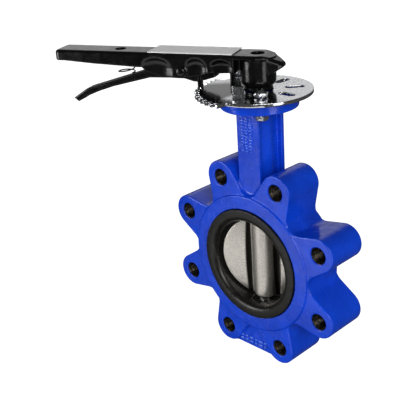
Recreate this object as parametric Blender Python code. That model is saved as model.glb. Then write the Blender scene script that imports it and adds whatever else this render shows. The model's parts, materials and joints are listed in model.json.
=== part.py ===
"""Lug-type butterfly valve DN80 with a notched hand lever, as separate pieces.

Frame: the pipe runs along Y and the stem along Z.  The origin is on the stem axis, level
with the undersides of the two lowest lugs.  The closed lever points to -X; it is drawn
three notches open, at REST_ANGLE.
"""
import math

import bpy
from mathutils import Matrix, Vector

# ---------------------------------------------------------------- driving dimensions (m)
GAP = 0.0003                   # left between meshes that touch on the real valve
BITE = 0.001                   # how far a body that is united reaches into its neighbour
CUT = 0.002                    # how far a cutter reaches past the face it cuts
ROOT = 0.006                   # how far the neck and the web are rooted in the ring

PITCH_CIRCLE_R = 0.080         # PN16 drilling of DN80: eight M16 on 160 mm
LUG_COUNT = 8
LUG_R = 0.0148
LUG_HALF = 0.0198              # half the depth of a lug along the pipe
LUG_FLARE = math.radians(12)   # how much a lug widens towards the ring
LUG_HOLE_R = 0.0070            # root of the M16 thread
LUG_MOUTH_R = 0.0084
LUG_MOUTH_DEPTH = 0.0014

RING_R = 0.0630
RING_HALF = 0.0213
RING_CYLINDER_HALF = 0.0158    # from here inwards the ring is crowned
RING_CROWN_R = 0.0650
RING_CROWN_HALF = 0.0088
VALLEY_R = 0.0640              # where the flanks of two lugs meet the ring
LINER_SEAT_R = 0.0460          # bore of the casting, which the rubber liner fills
LIP_R = 0.0505
LIP_SEAT_HALF = 0.0180
LIP_BEVEL = 0.0030
FACE_TO_FACE = 0.0460
BORE_R = 0.0395

WEB_HALF_X = 0.0285            # web between the two lowest lugs
WEB_HALF_Y = 0.0172
WEB_RISE = 0.0015              # web's flat underside above the lug bottoms

NECK_HALF_X = 0.0123
NECK_HALF_Y = 0.0160
NECK_PLATE = 0.0038            # thickness of the neck's front and back plates
NECK_BARREL_R = 0.0112
NECK_WEB_HALF_X = 0.0080
NECK_BARREL_BOTTOM = 0.0590
NECK_WEB_BOTTOM = 0.0600
NECK_PLATE_BOTTOM = 0.0610
FLANGE_R = 0.0325
FLANGE_BOTTOM = 0.1385
FLANGE_TOP = 0.1489
FLANGE_RECESS_R = 0.0175
FLANGE_RECESS_FLOOR = 0.1452
FLANGE_PITCH_R = 0.0250        # F05 drilling
FLANGE_HOLE_R = 0.0034
FLANGE_HOLE_COUNT = 4

STEM_R = 0.0065
STEM_SQUARE = 0.0090
STEM_GROOVE_R = 0.0056
STEM_GROOVE = (0.1466, 0.1482)
STEM_SQUARE_BOTTOM = 0.1526
STEM_TOP = 0.1772
STEM_IN_DISC = 0.0060
STEM_DRIVE_TOP = 0.0236        # top of the square inside the disc
LOWER_STEM = (-0.0640, -0.0060)
BUSH_R = 0.0085
BUSH_BORE_R = STEM_R + GAP
BORE_FOR_BUSH_R = BUSH_R + GAP
NECK_BUSH_LOWER = (0.0520, 0.0720)
NECK_BUSH_UPPER = (0.1180, 0.1440)
LOWER_BUSH = (-0.0650, -0.0480)
LOWER_BORE_END = -0.0665
O_RING_HEIGHTS = (0.0760, 0.0800)
O_RING_WIRE_R = 0.00085
THRUST_WASHER = (0.1455, 0.1463)
THRUST_WASHER_R = 0.0120
CIRCLIP = (0.1468, 0.1480)
CIRCLIP_R = 0.0090
CIRCLIP_OPENING = math.radians(40)

DISC_R = 0.0391
DISC_HALF_EDGE = 0.0022
DISC_HALF_CENTRE = 0.0048
DISC_POLE_R = 0.0027           # radius of the small flat at the middle of each face
DISC_BOSS_R = 0.0090
DISC_BOSS_HALF = 0.0372

PLATE = (0.1492, 0.1522)
PLATE_R = 0.0444
PLATE_BORE_R = 0.0125
SECTOR_R = 0.0530
NOTCH_ROOT_R = 0.0490
NOTCH_WIDTH = 0.0037
NOTCH_STEP = math.radians(7.5)
NOTCH_COUNT = 13               # positions from closed to fully open, 90 degrees apart
SECTOR_MARGIN = math.radians(7)
SLOT_INNER_R = 0.0212
SLOT_OUTER_R = 0.0370
SLOT_HALF_WIDTH = 0.0034
SLOT_ANGLES = (-45, 0, 45, 90, 135)
TAB_R = 0.0380
TAB_WIDTH = 0.0095
TAB_TOP = 0.1640
TAB_THICKNESS = 0.0026
TAB_ANGLES = (164, 286)        # end stops, one beyond each end of the lever's travel
BOLT_ANGLES = (-45, 135)
BOLT_R = 0.0029
BOLT_END = 0.1315
HEX_FLATS = 0.0100
BOLT_HEAD = 0.0040
HEAD_SIDE = 0.0034             # height of the bolt head below its bevel
HEAD_BEVEL_R = 0.0046
NUT_HEIGHT = 0.0045
NUT_BORE_R = 0.0032

REST_ANGLE = math.radians(22.5)
LEVER_TOP = 0.1818
LEVER_SHEET = 0.0030
LEVER_HALF = 0.0120
LEVER_TIP = 0.1840
HEAD_HALF = 0.0145
TIP_CORNER_R = 0.0040
TIP_WALL_BACK = 0.1700         # where the wall round the tip starts, along the skirts
NOSE_START = -0.0120           # the head's top slopes down from here to the nose
NOSE_SLOPE = math.radians(25)
NOSE_BOTTOM = 0.1660
HUB_R = 0.0145
HUB_FOOT_R = 0.0125
HUB_BOTTOM = 0.1558
HUB_BEVEL_TOP = 0.1600
COLLAR_R = 0.0117
COLLAR_BOTTOM = 0.1530
SOCKET = STEM_SQUARE + 2 * GAP
HUB_TOP_HOLE_R = 0.0056
HANG_HOLE_X = 0.1240
HANG_HOLE_R = 0.0047
LABEL_X = (0.0177, 0.0926)
LABEL_HALF = 0.0126
LABEL = (LEVER_TOP + GAP, LEVER_TOP + 0.0012)
SET_SCREW_Z = 0.1660
SET_SCREW_R = 0.0030

PIVOT = (0.0635, 0.0, 0.1666)  # trigger pivot, along the lever from the stem
PIVOT_R = 0.0028
PIVOT_HEAD_R = 0.0040
PIVOT_HEAD = 0.0012
TRIGGER_HALF = 0.0075
TRIGGER_NOSE_HALF = 0.0054     # meets an end stop tab at each end of the travel
PAWL_HALF = 0.0015
PAWL = (0.0494, 0.0538)        # the tooth that drops into a notch
PAWL_BOTTOM = 0.1482
PAWL_TOP = 0.1596
SPRING_X = 0.1200
SPRING_R = 0.0071
SPRING_WIRE_R = 0.0006
SPRING_TURNS = 3
SPRING_STEPS = 16              # per turn
SPRING_TOP = LEVER_TOP - LEVER_SHEET - GAP

# one side of the lever's plan, from the handle to the nose: along the lever, half width
LEVER_SIDE = ((0.1500, LEVER_HALF), (0.0300, LEVER_HALF), (0.0120, HEAD_HALF),
              (-0.0120, HEAD_HALF), (-0.0200, 0.0104), (-0.0245, 0.0044))
# the nose's underside, from the hub outwards: along the lever, height
NOSE_UNDER = ((-0.0150, 0.1675), (-0.0300, 0.1763))
# lower edge of the lever's skirts, from the tip to the hub: along the lever, height
SKIRT_EDGE = ((0.1740, 0.1724), (0.1460, 0.1706), (0.1000, 0.1688), (0.0964, 0.1652),
              (0.0830, 0.1608), (0.0600, 0.1610), (0.0480, 0.1628), (0.0400, 0.1652),
              (0.0170, 0.1668), (0.0080, 0.1668))
# outline of the trigger's side: along the lever, height
TRIGGER_SIDE = ((0.0545, 0.1575), (0.0645, 0.1602), (0.0950, 0.1592), (0.1310, 0.1500),
                (0.1460, 0.1450), (0.1600, 0.1392), (0.1680, 0.1345), (0.1725, 0.1378),
                (0.1590, 0.1465), (0.1070, 0.1626), (0.0850, 0.1705), (0.0700, 0.1735),
                (0.0560, 0.1715), (0.0494, 0.1640), (0.0494, 0.1575))
TRIGGER_NOSE = ((0.0520, 0.1580), (0.0455, 0.1585), (0.0360, 0.1615), (0.0360, 0.1650),
                (0.0460, 0.1690), (0.0520, 0.1700))

LOWEST_LUG_ANGLE = math.radians(-90 + 180 / LUG_COUNT)
BORE_HEIGHT = LUG_R - PITCH_CIRCLE_R * math.sin(LOWEST_LUG_ANGLE)

SEGMENTS_LARGE = 64
SEGMENTS_MEDIUM = 32
SEGMENTS_SMALL = 20
WIRE_SIDES = 6
ALONG_PIPE = (math.pi / 2, 0, 0)
SQUARE_PHASE = math.pi / 4     # turns a square's flats to face X and Y


# ---------------------------------------------------------------- scene and materials
def clear_scene():
    for obj in list(bpy.data.objects):
        bpy.data.objects.remove(obj, do_unlink=True)


def finish(name, colour, roughness, metallic):
    """A Principled material of one colour, for one named piece."""
    material = bpy.data.materials.new(name)
    material.use_nodes = True
    shader = material.node_tree.nodes["Principled BSDF"]
    shader.inputs["Base Color"].default_value = (*colour, 1)
    shader.inputs["Roughness"].default_value = roughness
    shader.inputs["Metallic"].default_value = metallic
    return material


FINISHES = {
    "blue_enamel": ((0.012, 0.060, 0.560), 0.35, 0.0),
    "black_rubber": ((0.012, 0.012, 0.012), 0.55, 0.0),
    "nickel": ((0.560, 0.540, 0.500), 0.40, 1.0),
    "steel": ((0.520, 0.520, 0.520), 0.30, 1.0),
    "zinc": ((0.680, 0.690, 0.700), 0.32, 1.0),
    "bronze": ((0.450, 0.280, 0.100), 0.40, 1.0),
    "black_enamel": ((0.010, 0.010, 0.010), 0.22, 0.0),
    "label": ((0.560, 0.570, 0.580), 0.45, 0.6),
    "spring_steel": ((0.080, 0.080, 0.085), 0.35, 1.0),
}


# ---------------------------------------------------------------- outlines and skins
def circle(radius, segments, phase=0.0):
    step = 2 * math.pi / segments
    return [(radius * math.cos(phase + i * step), radius * math.sin(phase + i * step))
            for i in range(segments)]


def arc(centre, radius, start, end, steps):
    span = (end - start) / steps
    return [(centre[0] + radius * math.cos(start + i * span),
             centre[1] + radius * math.sin(start + i * span)) for i in range(steps + 1)]


def regular(flats, sides, per_side, phase=0.0):
    """Points round a regular polygon of a given width across its flats."""
    count = sides * per_side
    points = []
    for i in range(count):
        turn = 2 * math.pi * i / count
        within = (turn % (2 * math.pi / sides)) - math.pi / sides
        radius = flats / 2 / math.cos(within)
        points.append((radius * math.cos(turn + phase), radius * math.sin(turn + phase)))
    return points


def at_height(outline, z):
    return [(x, y, z) for x, y in outline]


def rectangle(x0, x1, y0, y1):
    return [(x0, y0), (x1, y0), (x1, y1), (x0, y1)]


def skin(loops, closed=False):
    """Vertices and faces of a body skinned over equal loops; closed joins last to first."""
    count = len(loops[0])
    verts = [point for loop in loops for point in loop]
    faces = []
    pairs = len(loops) if closed else len(loops) - 1
    for i in range(pairs):
        a = i * count
        b = ((i + 1) % len(loops)) * count
        for j in range(count):
            k = (j + 1) % count
            faces.append((a + j, a + k, b + k, b + j))
    if not closed:
        faces.append(tuple(reversed(range(count))))
        faces.append(tuple(range(len(verts) - count, len(verts))))
    return verts, faces


def prism(outline, z0, z1):
    return skin([at_height(outline, z0), at_height(outline, z1)])


def turned(profile, segments):
    """A ring-shaped body: the closed profile of (radius, height) runs round Z."""
    loops = [at_height(circle(radius, segments), z) for radius, z in profile]
    return skin(loops, closed=True)


def rod(sections, segments):
    """A solid of revolution, given as (radius, height) from one end to the other."""
    return skin([at_height(circle(radius, segments), z) for radius, z in sections])


def tube(outer, inner, z0, z1, segments):
    return turned([(inner, z0), (outer, z0), (outer, z1), (inner, z1)], segments)


def moved(body, matrix):
    verts, faces = body
    return [tuple(matrix @ Vector(v)) for v in verts], faces


def turn_z(angle):
    return Matrix.Rotation(angle, 4, "Z")


def shift(x=0.0, y=0.0, z=0.0):
    return Matrix.Translation((x, y, z))


# ---------------------------------------------------------------- objects and Booleans
def add(name, bodies, parent, finish_name=None, rotation=(0, 0, 0), location=(0, 0, 0)):
    """One object made of one or more bodies, its faces turned to point out."""
    verts = []
    faces = []
    for body_verts, body_faces in bodies:
        start = len(verts)
        verts.extend(body_verts)
        faces.extend(tuple(start + i for i in face) for face in body_faces)
    mesh = bpy.data.meshes.new(name)
    mesh.from_pydata(verts, [], faces)
    if signed_volume(mesh) < 0:
        mesh.flip_normals()
    mesh.shade_smooth()
    mesh.set_sharp_from_angle(angle=math.radians(35))
    obj = bpy.data.objects.new(name, mesh)
    bpy.context.collection.objects.link(obj)
    obj.parent = parent
    obj.rotation_euler = rotation
    obj.location = location
    if finish_name:
        mesh.materials.append(finish(name, *FINISHES[finish_name]))
    return obj


def signed_volume(mesh):
    total = 0.0
    for face in mesh.polygons:
        corners = [mesh.vertices[i].co for i in face.vertices]
        for i in range(1, len(corners) - 1):
            total += corners[0].dot(corners[i].cross(corners[i + 1]))
    return total


def helper(name, bodies, parent, rotation=(0, 0, 0)):
    """A hidden object that only shapes another one."""
    obj = add(name, bodies, parent, rotation=rotation)
    obj.hide_render = True
    obj.display_type = "WIRE"
    return obj


def combine(target, operation, name, bodies, rotation=(0, 0, 0)):
    """Add bodies to a target (UNION) or take them away (DIFFERENCE)."""
    tool = helper(name, bodies, target.parent, rotation)
    modifier = target.modifiers.new(name, "BOOLEAN")
    modifier.operation = operation
    modifier.solver = "EXACT"
    modifier.object = tool


def empty(name, parent=None, location=(0, 0, 0), turn=0.0):
    obj = bpy.data.objects.new(name, None)
    bpy.context.collection.objects.link(obj)
    obj.parent = parent
    obj.location = location
    obj.rotation_euler = (0, 0, turn)
    return obj


# ---------------------------------------------------------------- body of the valve
def lug_angles():
    return [LOWEST_LUG_ANGLE + i * 2 * math.pi / LUG_COUNT for i in range(LUG_COUNT)]


def lug_outline():
    """Round ends on the pitch circle, with straight flanks that widen to the ring."""
    side = math.pi / 2 - LUG_FLARE
    end = arc((PITCH_CIRCLE_R, 0), LUG_R, -side, side, 8)
    x, y = end[-1]
    dx, dy = -math.cos(LUG_FLARE), math.sin(LUG_FLARE)
    along = x * dx + y * dy
    reach = -along - math.sqrt(along ** 2 - (x * x + y * y - VALLEY_R ** 2))
    foot = (x + reach * dx, y + reach * dy)
    one_lug = [(foot[0], -foot[1])] + end + [foot]
    outline = []
    for angle in lug_angles():
        c, s = math.cos(angle), math.sin(angle)
        outline.extend((px * c - py * s, px * s + py * c) for px, py in one_lug)
    return outline


def ring_solid():
    """The ring before boring: a disc along the pipe, crowned between its faces."""
    half = [(RING_R, RING_HALF), (RING_R, RING_CYLINDER_HALF), (RING_CROWN_R, RING_CROWN_HALF)]
    far = [(radius, -depth) for radius, depth in half]
    return rod(far + half[::-1], SEGMENTS_LARGE)


def liner_seat():
    """The bore that the liner fills, with a recess at each face for its lips."""
    lip = LIP_R + GAP
    beyond = RING_HALF + CUT
    half = [(lip, beyond), (lip, LIP_SEAT_HALF), (LINER_SEAT_R, LIP_SEAT_HALF)]
    far = [(radius, -depth) for radius, depth in half]
    return rod(far + half[::-1], SEGMENTS_LARGE)


def lug_hole():
    far = LUG_HALF + CUT
    mouth = LUG_MOUTH_R + CUT
    return rod([(mouth, -far), (LUG_HOLE_R, LUG_MOUTH_DEPTH - LUG_HALF),
                (LUG_HOLE_R, LUG_HALF - LUG_MOUTH_DEPTH), (mouth, far)], SEGMENTS_SMALL)


def add_neck(body):
    """The neck: two plates that stand on the ring, with a barrel and a web between them."""
    top = FLANGE_BOTTOM + BITE
    plates = []
    for y0 in (-NECK_HALF_Y, NECK_HALF_Y - NECK_PLATE):
        outline = rectangle(-NECK_HALF_X, NECK_HALF_X, y0, y0 + NECK_PLATE)
        plates.append(prism(outline, NECK_PLATE_BOTTOM, top))
    combine(body, "UNION", "neck_plates", plates)
    barrel = rod([(NECK_BARREL_R, NECK_BARREL_BOTTOM), (NECK_BARREL_R, top)], SEGMENTS_MEDIUM)
    combine(body, "UNION", "neck_barrel", [barrel])
    depth = NECK_HALF_Y - BITE
    web = rectangle(-NECK_WEB_HALF_X, NECK_WEB_HALF_X, -depth, depth)
    combine(body, "UNION", "neck_web", [prism(web, NECK_WEB_BOTTOM, top - BITE / 2)])
    flange = rod([(FLANGE_R, FLANGE_BOTTOM), (FLANGE_R, FLANGE_TOP)], SEGMENTS_LARGE)
    combine(body, "UNION", "top_flange", [flange])


def drill_body(body):
    """Cuts the liner's seat, the lugs' holes, the stem's bores and the flange's holes."""
    combine(body, "DIFFERENCE", "liner_seat", [liner_seat()], ALONG_PIPE)
    holes = []
    for angle in lug_angles():
        place = shift(PITCH_CIRCLE_R * math.cos(angle), PITCH_CIRCLE_R * math.sin(angle))
        holes.append(moved(lug_hole(), place))
    combine(body, "DIFFERENCE", "lug_holes", holes, ALONG_PIPE)
    stem_bore = rod([(BORE_FOR_BUSH_R, LINER_SEAT_R - ROOT),
                     (BORE_FOR_BUSH_R, FLANGE_RECESS_FLOOR),
                     (FLANGE_RECESS_R, FLANGE_RECESS_FLOOR),
                     (FLANGE_RECESS_R, FLANGE_TOP + CUT)], SEGMENTS_MEDIUM)
    lower_bore = rod([(BORE_FOR_BUSH_R, LOWER_BORE_END), (BORE_FOR_BUSH_R, ROOT - LINER_SEAT_R)],
                     SEGMENTS_MEDIUM)
    combine(body, "DIFFERENCE", "stem_bores", [stem_bore, lower_bore])
    drill = rod([(FLANGE_HOLE_R, FLANGE_BOTTOM - CUT), (FLANGE_HOLE_R, FLANGE_TOP + CUT)],
                SEGMENTS_SMALL)
    drills = []
    for i in range(FLANGE_HOLE_COUNT):
        angle = (i + 0.5) * 2 * math.pi / FLANGE_HOLE_COUNT
        drills.append(moved(drill, turn_z(angle) @ shift(FLANGE_PITCH_R)))
    combine(body, "DIFFERENCE", "flange_holes", drills)


def body_casting(centre):
    body = add("body_casting", [ring_solid()], centre, "blue_enamel", ALONG_PIPE)
    star = prism(lug_outline(), -LUG_HALF, LUG_HALF)
    combine(body, "UNION", "lug_star", [star], ALONG_PIPE)
    web = rectangle(-WEB_HALF_X, WEB_HALF_X, WEB_RISE - BORE_HEIGHT, ROOT - RING_R)
    combine(body, "UNION", "bottom_web", [prism(web, -WEB_HALF_Y, WEB_HALF_Y)], ALONG_PIPE)
    add_neck(body)
    drill_body(body)


def seat_liner(centre):
    half = FACE_TO_FACE / 2
    back = LINER_SEAT_R - GAP
    lip = LIP_SEAT_HALF + GAP
    side = [(BORE_R, half - LIP_BEVEL), (BORE_R + LIP_BEVEL, half), (LIP_R, half),
            (LIP_R, lip), (back, lip)]
    profile = side + [(radius, -depth) for radius, depth in reversed(side)]
    liner = add("seat_liner", [turned(profile, SEGMENTS_LARGE)], centre, "black_rubber",
                ALONG_PIPE)
    stem_hole = rod([(BUSH_BORE_R, BORE_R - CUT), (BUSH_BORE_R, LINER_SEAT_R + CUT)],
                    SEGMENTS_MEDIUM)
    lower_hole = moved(stem_hole, Matrix.Rotation(math.pi, 4, "X"))
    combine(liner, "DIFFERENCE", "liner_stem_holes", [stem_hole, lower_hole])


def stem_fittings(centre):
    bushes = {"neck_bush_lower": NECK_BUSH_LOWER, "neck_bush_upper": NECK_BUSH_UPPER,
              "lower_bush": LOWER_BUSH}
    for name, (z0, z1) in bushes.items():
        add(name, [tube(BUSH_R, BUSH_BORE_R, z0, z1, SEGMENTS_MEDIUM)], centre, "bronze")
    ring_r = (STEM_R + BORE_FOR_BUSH_R) / 2
    for number, height in enumerate(O_RING_HEIGHTS, 1):
        section = [(ring_r + x, height + z) for x, z in circle(O_RING_WIRE_R, WIRE_SIDES)]
        add(f"stem_o_ring_{number}", [turned(section, SEGMENTS_SMALL)], centre, "black_rubber")
    washer = tube(THRUST_WASHER_R, BUSH_BORE_R, *THRUST_WASHER, SEGMENTS_MEDIUM)
    add("thrust_washer", [washer], centre, "bronze")
    inner = STEM_GROOVE_R + GAP
    section = rectangle(inner, CIRCLIP_R, *CIRCLIP)
    loops = []
    for i in range(SEGMENTS_SMALL + 1):
        angle = CIRCLIP_OPENING / 2 + i * (2 * math.pi - CIRCLIP_OPENING) / SEGMENTS_SMALL
        loops.append([(r * math.cos(angle), r * math.sin(angle), z) for r, z in section])
    add("stem_circlip", [skin(loops)], centre, "spring_steel")


# ---------------------------------------------------------------- notch plate and fixings
def plate_outline():
    """A disc whose lever side steps out to a sector with one notch for each position."""
    half_notch = NOTCH_WIDTH / 2 / SECTOR_R
    last = (NOTCH_COUNT - 1) * NOTCH_STEP
    outline = []
    for i in range(NOTCH_COUNT):
        middle = math.pi + i * NOTCH_STEP
        outline.append((SECTOR_R, middle - NOTCH_STEP / 2))
        outline.append((SECTOR_R, middle - half_notch))
        outline.append((NOTCH_ROOT_R, middle - half_notch))
        outline.append((NOTCH_ROOT_R, middle + half_notch))
        outline.append((SECTOR_R, middle + half_notch))
    outline.append((SECTOR_R, math.pi + last + NOTCH_STEP / 2))
    start = math.pi + last + SECTOR_MARGIN
    end = 3 * math.pi - SECTOR_MARGIN
    for i in range(SEGMENTS_MEDIUM + 1):
        outline.append((PLATE_R, start + (end - start) * i / SEGMENTS_MEDIUM))
    return [(radius * math.cos(a), radius * math.sin(a)) for radius, a in outline]


def slot():
    middle_in = SLOT_INNER_R + SLOT_HALF_WIDTH
    middle_out = SLOT_OUTER_R - SLOT_HALF_WIDTH
    quarter = math.pi / 2
    return (arc((middle_out, 0), SLOT_HALF_WIDTH, -quarter, quarter, 8)
            + arc((middle_in, 0), SLOT_HALF_WIDTH, quarter, 3 * quarter, 8))


def notch_plate(centre):
    plate = add("notch_plate", [prism(plate_outline(), *PLATE)], centre, "zinc")
    low, high = PLATE[0] - CUT, PLATE[1] + CUT
    cuts = [rod([(PLATE_BORE_R, low), (PLATE_BORE_R, high)], SEGMENTS_MEDIUM)]
    for angle in SLOT_ANGLES:
        cuts.append(moved(prism(slot(), low, high), turn_z(math.radians(angle))))
    combine(plate, "DIFFERENCE", "plate_cutouts", cuts)
    tabs = []
    for angle in TAB_ANGLES:
        base = rectangle(TAB_R - TAB_THICKNESS, TAB_R, -TAB_WIDTH / 2, TAB_WIDTH / 2)
        tab = prism(base, PLATE[0] + BITE, TAB_TOP)
        tabs.append(moved(tab, turn_z(math.radians(angle))))
    combine(plate, "UNION", "end_stop_tabs", tabs)


def plate_fixings(centre):
    hexagon = regular(HEX_FLATS, 6, 2)
    under_head = PLATE[1] + GAP
    shank = circle(BOLT_R, len(hexagon))
    bevel = circle(HEAD_BEVEL_R, len(hexagon))
    bolt = skin([at_height(shank, BOLT_END), at_height(shank, under_head),
                 at_height(hexagon, under_head), at_height(hexagon, under_head + HEAD_SIDE),
                 at_height(bevel, under_head + BOLT_HEAD)])
    nut_top = FLANGE_BOTTOM - GAP
    nut_hole = circle(NUT_BORE_R, len(hexagon))
    nut = skin([at_height(nut_hole, nut_top - NUT_HEIGHT), at_height(hexagon, nut_top - NUT_HEIGHT),
                at_height(hexagon, nut_top), at_height(nut_hole, nut_top)], closed=True)
    turned_nut = moved(nut, turn_z(math.pi / 6))
    for number, angle in enumerate(BOLT_ANGLES, 1):
        radians = math.radians(angle)
        place = (FLANGE_PITCH_R * math.cos(radians), FLANGE_PITCH_R * math.sin(radians), 0)
        add(f"plate_bolt_{number}", [bolt], centre, "steel", location=place)
        add(f"plate_nut_{number}", [turned_nut], centre, "steel", location=place)


# ---------------------------------------------------------------- disc and stems
def disc(axis):
    """A lens of revolution about the pipe, with the stem boss across it."""
    steps = 5
    faces = []
    for i in range(steps + 1):
        share = i / steps
        radius = DISC_POLE_R + (DISC_R - DISC_POLE_R) * share
        half = DISC_HALF_CENTRE + (DISC_HALF_EDGE - DISC_HALF_CENTRE) * share ** 2
        faces.append((radius, half))
    profile = [(radius, -depth) for radius, depth in faces]
    profile += [(radius, depth) for radius, depth in reversed(faces)]
    plate = add("disc", [rod(profile, SEGMENTS_LARGE)], axis, "nickel", ALONG_PIPE)
    boss = rod([(DISC_BOSS_R, -DISC_BOSS_HALF), (DISC_BOSS_R, DISC_BOSS_HALF)], SEGMENTS_MEDIUM)
    combine(plate, "UNION", "disc_boss", [boss])
    beyond = DISC_R + CUT
    socket = prism(regular(SOCKET, 4, 1, SQUARE_PHASE), STEM_IN_DISC - GAP, STEM_DRIVE_TOP + GAP)
    upper = rod([(BUSH_BORE_R, STEM_DRIVE_TOP), (BUSH_BORE_R, beyond)], SEGMENTS_MEDIUM)
    lower = rod([(BUSH_BORE_R, -beyond), (BUSH_BORE_R, LOWER_STEM[1] + GAP)], SEGMENTS_MEDIUM)
    combine(plate, "DIFFERENCE", "disc_socket", [socket])
    combine(plate, "DIFFERENCE", "disc_bores", [upper, lower])


def stems(axis):
    per_side = SEGMENTS_MEDIUM // 4
    square = regular(STEM_SQUARE, 4, per_side, SQUARE_PHASE)
    shaft = circle(STEM_R, SEGMENTS_MEDIUM, SQUARE_PHASE)
    groove = circle(STEM_GROOVE_R, SEGMENTS_MEDIUM, SQUARE_PHASE)
    shoulder = STEM_DRIVE_TOP + GAP
    sections = [(square, STEM_IN_DISC), (square, shoulder), (shaft, shoulder),
                (shaft, STEM_GROOVE[0]),
                (groove, STEM_GROOVE[0]), (groove, STEM_GROOVE[1]), (shaft, STEM_GROOVE[1]),
                (shaft, STEM_SQUARE_BOTTOM), (square, STEM_SQUARE_BOTTOM), (square, STEM_TOP)]
    add("upper_stem", [skin([at_height(outline, z) for outline, z in sections])], axis, "steel")
    add("lower_stem", [rod([(STEM_R, LOWER_STEM[0]), (STEM_R, LOWER_STEM[1])], SEGMENTS_MEDIUM)],
        axis, "steel")


# ---------------------------------------------------------------- lever, along its own +X
def tip_outline(inset):
    """The lever's square end, with its two corners rounded, drawn inside its own edge."""
    x, y = LEVER_TIP - TIP_CORNER_R, LEVER_HALF - TIP_CORNER_R
    radius = TIP_CORNER_R - inset
    return (arc((x, -y), radius, -math.pi / 2, 0, 5) + arc((x, y), radius, 0, math.pi / 2, 5))


def lever_plan():
    """Plan of the lever's top: square tip, straight handle, wider head with a blunt nose."""
    return tip_outline(0) + list(LEVER_SIDE) + [(x, -y) for x, y in reversed(LEVER_SIDE)]


def tip_wall_plan():
    """Plan of the wall that closes the skirts round the lever's tip."""
    outer, inner = LEVER_HALF - 2 * GAP, LEVER_HALF - LEVER_SHEET
    return ([(TIP_WALL_BACK, -outer)] + tip_outline(2 * GAP)
            + [(TIP_WALL_BACK, outer), (TIP_WALL_BACK, inner)]
            + tip_outline(LEVER_SHEET)[::-1] + [(TIP_WALL_BACK, -inner)])


def add_nose(top):
    """Thickens the head's nose, and slopes its top and its underside."""
    half = [(x, y - GAP) for x, y in LEVER_SIDE[-3:]]
    plan = half + [(x, -y) for x, y in reversed(half)]
    nose = prism(plan, NOSE_BOTTOM, LEVER_TOP - BITE)
    combine(top, "UNION", "nose", [nose])
    far = NOSE_UNDER[1][0]
    drop = math.tan(NOSE_SLOPE)
    above = [(NOSE_START + CUT / drop, LEVER_TOP + CUT), (far, LEVER_TOP + CUT),
             (far, LEVER_TOP - (NOSE_START - far) * drop)]
    below = list(NOSE_UNDER) + [(far, NOSE_BOTTOM - CUT), (NOSE_UNDER[0][0], NOSE_BOTTOM - CUT)]
    for name, side in (("nose_top", above), ("nose_under", below)):
        loops = [[(x, y, z) for x, z in side] for y in (-HEAD_HALF - CUT, HEAD_HALF + CUT)]
        combine(top, "DIFFERENCE", name, [skin(loops)])


def lever(axis):
    under = LEVER_TOP - LEVER_SHEET
    inside = under + BITE
    beyond = LEVER_TOP + CUT
    top = add("lever", [prism(lever_plan(), under, LEVER_TOP)], axis, "black_enamel")
    skirt = [(SKIRT_EDGE[0][0], inside)] + list(SKIRT_EDGE) + [(SKIRT_EDGE[-1][0], inside)]
    for name, y0 in (("near_skirt", LEVER_HALF - LEVER_SHEET), ("far_skirt", -LEVER_HALF)):
        loops = []
        for y in (y0 + GAP, y0 + LEVER_SHEET - GAP):
            loops.append([(x, y, z) for x, z in skirt])
        combine(top, "UNION", name, [skin(loops)])
    tip_wall = prism(tip_wall_plan(), SKIRT_EDGE[0][1] + GAP, inside)
    combine(top, "UNION", "tip_wall", [tip_wall])
    add_nose(top)
    hub = rod([(COLLAR_R, COLLAR_BOTTOM), (COLLAR_R, HUB_BOTTOM), (HUB_FOOT_R, HUB_BOTTOM),
               (HUB_R, HUB_BEVEL_TOP), (HUB_R, inside)], SEGMENTS_MEDIUM)
    combine(top, "UNION", "hub", [hub])
    socket = prism(regular(SOCKET, 4, 1, SQUARE_PHASE), COLLAR_BOTTOM - CUT, STEM_TOP + GAP)
    mouth = rod([(HUB_TOP_HOLE_R, STEM_TOP), (HUB_TOP_HOLE_R, beyond)], SEGMENTS_SMALL)
    combine(top, "DIFFERENCE", "stem_socket", [socket])
    hang = rod([(HANG_HOLE_R, under - CUT), (HANG_HOLE_R, beyond)], SEGMENTS_SMALL)
    combine(top, "DIFFERENCE", "top_holes", [mouth, moved(hang, shift(HANG_HOLE_X))])
    across = Matrix.Rotation(-math.pi / 2, 4, "X")
    screw_hole = rod([(SET_SCREW_R + GAP, -HUB_R - CUT), (SET_SCREW_R + GAP, 0)],
                     SEGMENTS_SMALL)
    pivot_hole = rod([(PIVOT_R + GAP, -LEVER_HALF - CUT), (PIVOT_R + GAP, LEVER_HALF + CUT)],
                     SEGMENTS_SMALL)
    combine(top, "DIFFERENCE", "cross_holes",
            [moved(screw_hole, shift(z=SET_SCREW_Z) @ across),
             moved(pivot_hole, shift(*PIVOT) @ across)])


def lever_fittings(axis):
    label = prism(rectangle(*LABEL_X, -LABEL_HALF, LABEL_HALF), *LABEL)
    add("label_plate", [label], axis, "label")
    across = Matrix.Rotation(-math.pi / 2, 4, "X")
    start = SOCKET / 2 + GAP
    screw = rod([(SET_SCREW_R, -HUB_R - BITE), (SET_SCREW_R, -start)], SEGMENTS_SMALL)
    add("lever_set_screw", [moved(screw, across)], axis, "spring_steel",
        location=(0, 0, SET_SCREW_Z))
    head = LEVER_HALF + GAP
    pin = rod([(PIVOT_HEAD_R, -head - PIVOT_HEAD), (PIVOT_HEAD_R, -head), (PIVOT_R, -head),
               (PIVOT_R, head), (PIVOT_HEAD_R, head), (PIVOT_HEAD_R, head + PIVOT_HEAD)],
              SEGMENTS_SMALL)
    add("trigger_pivot_pin", [moved(pin, across)], axis, "black_enamel", location=PIVOT)


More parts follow.
